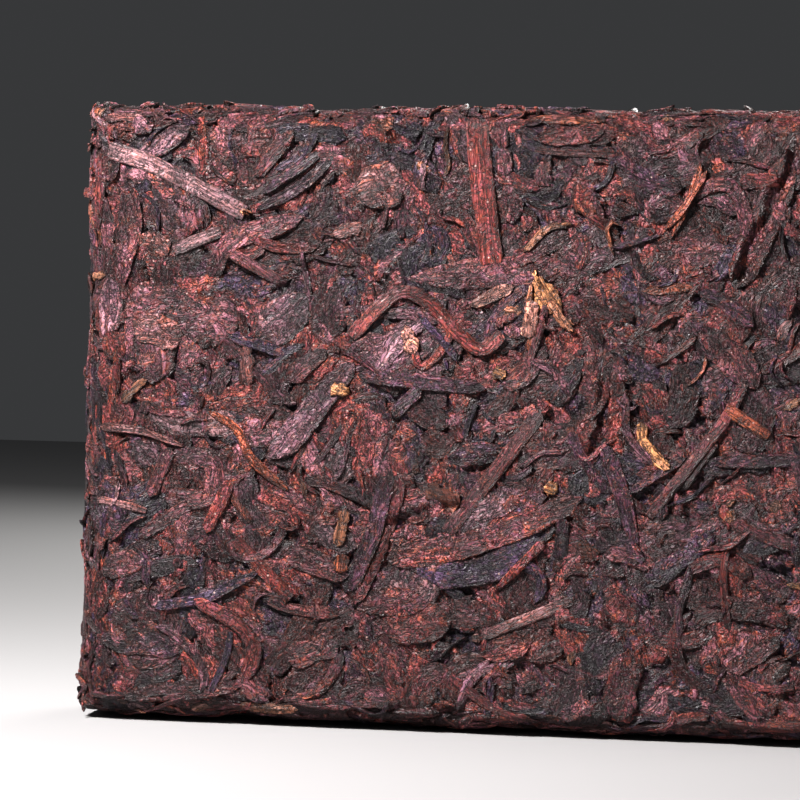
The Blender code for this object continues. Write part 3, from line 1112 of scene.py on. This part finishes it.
def matted_group():
    """The skin of the core, in millimetres: matted flakes, each with creases along it, and dry grain."""
    group, given, wanted = new_group(
        "matted flakes",
        (
            ("Grain", "NodeSocketVector", None),
            ("Flake Size", "NodeSocketFloat", FLAKE_SIZE),
            ("Crack Depth", "NodeSocketFloat", 0.25),
            ("Fold Depth", "NodeSocketFloat", 0.9),
            ("Crease Depth", "NodeSocketFloat", 0.28),
            ("Grain Depth", "NodeSocketFloat", 0.26),
        ),
        (("Height", "NodeSocketFloat"), ("Shade", "NodeSocketFloat"), ("Patch", "NodeSocketFloat")),
    )
    size = given["Flake Size"]
    place = scaled(group, given["Grain"], maths(group, "DIVIDE", 1.0, size))
    inside, flake, _, along = matted(group, place)
    folds = noise(group, scaled(group, along, size), 0.8, 4.0, 0.65, 0.8)
    grit = noise(group, given["Grain"], 2.8, 1.0, 0.8, 0.5)
    crease = near_middle(group, folds, CREASE_WIDTH)
    cracks = near_middle(group, noise(group, given["Grain"], 0.75, 3.0, 0.62, 1.6), CRACK_LINE_WIDTH)
    height = weighted_sum(
        group,
        (inside, given["Crack Depth"]),
        (folds, given["Fold Depth"]),
        (maths(group, "MINIMUM", crease, cracks), given["Crease Depth"]),
        (grit, given["Grain Depth"]),
    )
    # Painted shade: darker at the cracks between flakes and in the creases, and lighter where the grain stands
    # higher.
    shade = product(
        group,
        span(group, inside, 0.0, 1.0, 0.25, 1.0),
        span(group, grit, 0.33, 0.67, 0.6, 1.4),
        creased_shade(group, crease, cracks),
    )
    group.links.new(height, wanted["Height"])
    group.links.new(shade, wanted["Shade"])
    group.links.new(flake, wanted["Patch"])
    return group


def ageing_and_painted_light_group():
    """What age and pressing do to a leaf's colour: blotches, rust-coloured patches and slate bloom; and painted
    light and shade: a painted highlight along the rims, the skin's painted shade, pale specks that are partly
    dusty and partly painted glints, painted shade where the leaf lies low, and a painted shadow line at each
    rim.
    """
    group, given, wanted = new_group(
        "leaf colour with painted light",
        (
            ("Colour", "NodeSocketColor", (0.1, 0.05, 0.05, 1)),
            ("Shade", "NodeSocketFloat", 1.0),
            ("Rim", "NodeSocketFloat", 0.0),
            ("Depth", "NodeSocketFloat", 1.0),
            ("Rust", "NodeSocketFloat", 0.5),
            ("Bloom", "NodeSocketFloat", 0.5),
        ),
        (("Colour", "NodeSocketColor"), ("Roughness", "NodeSocketFloat")),
    )
    place = scaled(group, put(group, "ShaderNodeTexCoord").outputs["Object"], 1 / MM)
    broad = noise(group, place, 0.16, 2.0, 0.55)
    blotches = noise(group, place, 0.8, 4.0, 0.7, 0.8)
    specks = noise(group, place, 2.6, 2.0, 0.7)
    glints = cells(group, place, 0.55)
    colour = darkened(group, given["Colour"], span(group, blotches, 0.32, 0.68, 0.6, 1.4))
    bloom = product(
        group,
        span(group, blotches, 0.48, 0.62, 0.0, 1.0),
        span(group, broad, 0.42, 0.58, 0.3, 1.0),
        given["Bloom"],
    )
    colour = blend_colours(group, "MIX", bloom, colour, SLATE)
    # A painted edge highlight: in places the rims take the rust colour.
    rim = product(group, maths(group, "POWER", given["Rim"], 6.0), span(group, blotches, 0.4, 0.6, 1.0, 0.0))
    patches = product(
        group,
        span(group, blotches, 0.5, 0.38, 0.0, 1.0),
        span(group, broad, 0.62, 0.42, 0.2, 1.0),
        span(group, specks, 0.42, 0.56, 0.2, 1.0),
    )
    # Rust-coloured patches, and the painted highlight on the rims.
    rust_and_rim_highlight = product(group, maths(group, "MAXIMUM", patches, rim), given["Rust"])
    colour = blend_colours(group, "MIX", rust_and_rim_highlight, colour, RUST_AND_RIM_HIGHLIGHT)
    colour = darkened(group, colour, given["Shade"])
    # Pale flecks and dots: partly dusty specks and partly painted glints.
    flecks = span(group, specks, 0.64, 0.74, 0.0, 0.6)
    dust_and_glints = maths(group, "MAXIMUM", span(group, glints, 0.1, 0.06, 0.0, 0.9), flecks)
    colour = blend_colours(group, "MIX", dust_and_glints, colour, DUST_AND_GLINT)
    # Painted shade: darker where the leaf lies low in the pile.
    colour = darkened(group, colour, span(group, given["Depth"], 0.25, 0.8, 0.15, 1.0))
    # Painted shade: a dark line along each piece's rim and underside.
    colour = darkened(group, colour, span(group, given["Rim"], 0.93, 1.0, 1.0, 0.25))
    group.links.new(colour, wanted["Colour"])
    group.links.new(span(group, specks, 0.35, 0.65, 0.3, 0.6), wanted["Roughness"])
    return group


def leaf_material(name, skin_group, ageing_and_painted_light, tone_spread=0.0, rust=0.6, bloom=0.45, **skin_inputs):
    """One finish for a kind of piece. Its tone picks a colour, and the two groups wrinkle and age it and paint
    light and shade into its colour.
    """
    material = bpy.data.materials.new(name)
    material.use_nodes = True
    tree = material.node_tree
    shader = tree.nodes["Principled BSDF"]
    look = put(tree, "ShaderNodeAttribute", attribute_name="look").outputs["Vector"]
    tone, rim, depth = put(tree, "ShaderNodeSeparateXYZ", {0: look}).outputs
    skin = put(tree, "ShaderNodeGroup", skin_inputs, node_tree=skin_group)
    feed(tree, skin, {"Grain": put(tree, "ShaderNodeAttribute", attribute_name="grain").outputs["Vector"]})
    shift = maths(tree, "MULTIPLY_ADD", skin.outputs["Patch"], tone_spread, -tone_spread / 2)
    tone = maths(tree, "ADD", tone, shift)
    leaf = ramp(tree, tone, *[(tone_place(tone_name), LEAF_COLOURS[tone_name]) for tone_name in TONES])
    aged_and_painted = put(tree, "ShaderNodeGroup", node_tree=ageing_and_painted_light)
    feed(tree, aged_and_painted, {"Colour": leaf, "Shade": skin.outputs["Shade"], "Rim": rim, "Depth": depth})
    feed(tree, aged_and_painted, {"Rust": rust, "Bloom": bloom})
    raised = put(tree, "ShaderNodeBump", {"Height": skin.outputs["Height"], "Strength": 1.0, "Distance": MM})
    feed(tree, shader, {"Base Color": aged_and_painted.outputs["Colour"], "Roughness": aged_and_painted.outputs["Roughness"]})
    feed(tree, shader, {"Normal": raised.outputs[0], "Specular IOR Level": 0.3})
    return material


def leaf_finishes():
    """A finish for each kind of piece."""
    skin, matting, ageing_and_painted_light = leaf_surface_group(), matted_group(), ageing_and_painted_light_group()
    flat = {"Folds per mm": 0.8, "Stretch": 0.4}
    strip = {"Folds per mm": 1.3, "Stretch": 0.15, "Fold Depth": 0.6}
    bark = {"Folds per mm": 1.8, "Stretch": 0.07, "Fold Depth": 0.4}
    bark.update({"Crease Depth": 0.12, "Grain Depth": 0.1})
    return {
        "broad_leaves": leaf_material("broad leaf", skin, ageing_and_painted_light, tone_spread=0.3, **flat),
        "crumpled_leaves": leaf_material("crumpled leaf", skin, ageing_and_painted_light, tone_spread=0.3, **flat),
        "folded_leaves": leaf_material("folded leaf", skin, ageing_and_painted_light, tone_spread=0.2),
        "rolled_strips": leaf_material("rolled strip", skin, ageing_and_painted_light, tone_spread=0.2, **strip),
        "thin_strips": leaf_material("thin strip", skin, ageing_and_painted_light, rust=0.8, **strip),
        "stems": leaf_material("stem bark", skin, ageing_and_painted_light, tone_spread=0.2, rust=0.45, bloom=0.3, **bark),
        "golden_buds": leaf_material("golden bud", skin, ageing_and_painted_light, tone_spread=0.2, rust=0.6, bloom=0.1, **bark),
        "torn_flakes": leaf_material("torn leaf", skin, ageing_and_painted_light, tone_spread=0.3, rust=0.9, **flat),
        "crumpled_core": leaf_material("crumpled core", matting, ageing_and_painted_light, tone_spread=0.1, rust=0.9, bloom=0.25),
    }


# ---------------------------------------------------------------- the core under the leaves

CORE_CELL = 0.64
CORE_SINK = 0.1
# How much of a hollow's depth the core follows, and how deep it counts as lying until its flakes are raised.
CORE_FOLLOWS = 0.9
CORE_DEPTH = 0.45


def core_net():
    """A box net of even cells, which crumpled_core then rounds to the brick and sinks under the leaves."""
    net = bmesh.new()
    bmesh.ops.create_cube(net, size=1.0)
    for axis in range(3):
        edges = [edge for edge in net.edges if abs((edge.verts[1].co - edge.verts[0].co)[axis]) > 0.5]
        cuts = int(2 * HALF[axis] / CORE_CELL) - 1
        bmesh.ops.subdivide_edges(net, edges=edges, cuts=cuts, use_grid_fill=True)
    net.normal_update()
    bmesh.ops.recalc_face_normals(net, faces=net.faces)
    mesh = bpy.data.meshes.new("crumpled_core")
    net.to_mesh(mesh)
    net.free()
    return mesh


def crumple_tree():
    """Geometry nodes that raise matted flakes on the core along its outward directions, and colour them."""
    tree = bpy.data.node_groups.new("crumpled core", "GeometryNodeTree")
    tree.interface.new_socket("Geometry", in_out="INPUT", socket_type="NodeSocketGeometry")
    sizes = {"Flake Size": FLAKE_SIZE, "Crack Depth": 0.2, "Step Depth": 0.45}
    sizes.update({"Tilt Depth": 0.8, "Fine Depth": 0.5})
    for name, default in sizes.items():
        made = tree.interface.new_socket(name, in_out="INPUT", socket_type="NodeSocketFloat")
        made.default_value = default
    tree.interface.new_socket("Material", in_out="INPUT", socket_type="NodeSocketMaterial")
    tree.interface.new_socket("Geometry", in_out="OUTPUT", socket_type="NodeSocketGeometry")
    given = put(tree, "NodeGroupInput").outputs
    out, grain = (
        put(tree, "GeometryNodeInputNamedAttribute", {"Name": name}, data_type="FLOAT_VECTOR").outputs[0]
        for name in ("out", "grain")
    )
    place = scaled(tree, grain, maths(tree, "DIVIDE", 1.0, given["Flake Size"]))
    inside, flake, tilt, _ = matted(tree, place)
    fine = maths(tree, "SUBTRACT", noise(tree, grain, 0.5, 3.0, 0.65), 0.5)
    height = weighted_sum(
        tree,
        (inside, given["Crack Depth"]),
        (maths(tree, "SUBTRACT", flake, 0.5), given["Step Depth"]),
        (tilt, given["Tilt Depth"]),
        (fine, given["Fine Depth"]),
    )
    offset = scaled(tree, out, maths(tree, "MULTIPLY", height, MM))
    moved = put(tree, "GeometryNodeSetPosition", {"Geometry": given["Geometry"], "Offset": offset}).outputs[0]
    tone = span(tree, flake, 0.0, 1.0, 0.04, 0.36)
    # How high each flake stands; low ones get painted shade from it.
    depth = span(tree, height, -0.4, 0.5, 0.3, 0.72)
    look = put(tree, "ShaderNodeCombineXYZ", {0: tone, 2: depth}).outputs[0]
    feeds = {"Geometry": moved, "Name": "look", "Value": look}
    coloured = put(tree, "GeometryNodeStoreNamedAttribute", feeds, data_type="FLOAT_VECTOR", domain="POINT")
    whole = put(tree, "GeometryNodeRealizeInstances", {"Geometry": coloured.outputs[0]}).outputs[0]
    dressed = put(tree, "GeometryNodeSetMaterial", {"Geometry": whole, "Material": given["Material"]})
    put(tree, "NodeGroupOutput", {"Geometry": dressed.outputs[0]})
    return tree


def run_tree(obj, tree, inputs):
    """The plain mesh that a geometry tree makes of an object, with its inputs set by their sockets."""
    modifier = obj.modifiers.new("shape", "NODES")
    modifier.node_group = tree
    for item in tree.interface.items_tree:
        if item.in_out == "INPUT" and item.name in inputs:
            modifier[item.identifier] = inputs[item.name]
    graph = bpy.context.evaluated_depsgraph_get()
    mesh = bpy.data.meshes.new_from_object(obj.evaluated_get(graph))
    obj.modifiers.clear()
    return mesh


def core_uvs(mesh, box):
    """The map for baking: each of the box's six sides laid flat, in millimetres, beside the others."""
    vertex_of = np.zeros(len(mesh.loops), np.int32)
    mesh.loops.foreach_get("vertex_index", vertex_of)
    counts = np.zeros(len(mesh.polygons), np.int32)
    mesh.polygons.foreach_get("loop_total", counts)
    starts = np.concatenate(([0], np.cumsum(counts)[:-1]))
    centres = np.add.reduceat(box[vertex_of], starts, axis=0) / counts[:, None]
    axis = np.argmax(np.abs(centres) / HALF, axis=1)
    sign = np.sign(centres[np.arange(len(axis)), axis])
    side = np.repeat(2 * axis + (sign > 0), counts)
    sizes = []
    for face_axis in range(3):
        wide, tall = (2 * HALF[other] + 2 for other in range(3) if other != face_axis)
        sizes += [(wide, tall)] * 2
    corners, square = shelf_corners(np.array(sizes))
    uvs = np.zeros((len(vertex_of), 2))
    for number in range(6):
        others = [other for other in range(3) if other != number // 2]
        chosen = side == number
        uvs[chosen] = (box[vertex_of[chosen]][:, others] + HALF[others] + 1 + corners[number]) / square
    return uvs


def crumpled_core(material):
    """The matted leaf under the pieces, which stands for the solid. Its tree gives each flake its look."""
    mesh = core_net()
    box = np.zeros(len(mesh.vertices) * 3, np.float32)
    mesh.vertices.foreach_get("co", box)
    box = box.reshape(-1, 3) * 2 * HALF
    places, normals = on_brick(box)
    places = places - normals * (CORE_SINK - CORE_LEVEL + CORE_FOLLOWS * hollow_at(places))[:, None]
    mesh.vertices.foreach_set("co", ((places + MIDDLE) * MM).astype(np.float32).ravel())
    out = mesh.attributes.new("out", "FLOAT_VECTOR", "POINT")
    out.data.foreach_set("vector", normals.astype(np.float32).ravel())
    tones = rng.uniform(0.15, 0.45, len(places))
    looks = np.stack((tones, np.zeros(len(places)), np.full(len(places), CORE_DEPTH)), axis=-1)
    finish_mesh(mesh, core_uvs(mesh, box), box, looks)
    helper = bpy.data.objects.new("core_helper", mesh)
    bpy.context.scene.collection.objects.link(helper)
    bpy.context.view_layer.update()
    made = run_tree(helper, crumple_tree(), {"Material": material})
    bpy.data.objects.remove(helper)
    made.attributes.remove(made.attributes["out"])
    piece = add_piece("crumpled_core", made, material)
    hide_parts("tea_brick")


# ---------------------------------------------------------------- floor, light and camera

FLOOR_SIZE = 3.0
FLOOR_COLOUR = (0.24, 0.24, 0.24)
WORLD_COLOUR = (0.86, 0.88, 0.92, 1)
WORLD_STRENGTH = 0.045


def plain_material(name, colour, roughness):
    material = bpy.data.materials.new(name)
    material.use_nodes = True
    shader = material.node_tree.nodes["Principled BSDF"]
    shader.inputs["Base Color"].default_value = (*colour, 1)
    shader.inputs["Roughness"].default_value = roughness
    return material


def make_floor():
    bpy.ops.mesh.primitive_plane_add(size=FLOOR_SIZE)
    floor = bpy.context.object
    floor.name = "floor"
    floor.data.materials.append(plain_material("pale floor", FLOOR_COLOUR, 0.6))


def soft_light(name, place, target, size, power, colour):
    """A round soft light at a place, aimed at a target."""
    light = bpy.data.lights.new(name, "AREA")
    light.shape = "DISK"
    light.size = size
    light.energy = power
    light.color = colour
    lamp = bpy.data.objects.new(name, light)
    lamp.location = place
    lamp.rotation_euler = (Vector(target) - Vector(place)).to_track_quat("-Z", "Y").to_euler()
    bpy.context.scene.collection.objects.link(lamp)


def make_light():
    world = bpy.data.worlds.new("studio")
    world.use_nodes = True
    backdrop = world.node_tree.nodes["Background"]
    backdrop.inputs["Color"].default_value = WORLD_COLOUR
    backdrop.inputs["Strength"].default_value = WORLD_STRENGTH
    bpy.context.scene.world = world
    soft_light("key", (-0.16, -0.15, 0.26), (-0.03, 0, 0.06), 0.06, 4.7, (1.0, 0.96, 0.96))
    soft_light("fill", (0.5, -0.5, 0.3), (0, 0, 0.04), 0.5, 0.35, (1.0, 0.93, 0.93))
    soft_light("back", (0.2, 0.55, 0.24), (0, 0, 0.05), 0.4, 7.0, (1.0, 0.98, 0.96))
    soft_light("side", (0.6, 0.12, 0.26), (0.05, 0, 0.05), 0.4, 2.4, (1.0, 0.97, 0.96))
    bpy.context.scene.view_settings.view_transform = "Standard"


# The view: the lens's distance, how far it is turned towards the right end, and what it looks at.
VIEW_DISTANCE = 0.45
VIEW_TURN = math.radians(9.4)
VIEW_RISE = math.radians(0.6)
VIEW_ROLL = math.radians(1.3)
VIEW_WIDTH = 0.1162
VIEW_CENTRE = Vector((-0.0209, -0.014, 0.0484))


def make_camera():
    lens = bpy.data.cameras.new("camera")
    lens.sensor_width = 36.0
    lens.lens = lens.sensor_width * VIEW_DISTANCE / VIEW_WIDTH
    lens.clip_start = 0.01
    camera = bpy.data.objects.new("camera", lens)
    away = Vector((math.sin(VIEW_TURN), -math.cos(VIEW_TURN), math.tan(VIEW_RISE))).normalized()
    camera.location = VIEW_CENTRE + away * VIEW_DISTANCE
    camera.rotation_euler = (-away).to_track_quat("-Z", "Y").to_euler()
    camera.rotation_euler.rotate_axis("Z", VIEW_ROLL)
    bpy.context.scene.collection.objects.link(camera)
    bpy.context.scene.camera = camera


def main():
    """Makes the core, lays all the leaves, and sets the floor, the lights and the camera."""
    finishes = leaf_finishes()
    crumpled_core(finishes["crumpled_core"])
    lay_all()
    for kind, heap in heaps.items():
        add_piece(kind, heap_mesh(kind, heap), finishes[kind])
    make_floor()
    make_light()
    make_camera()


main()
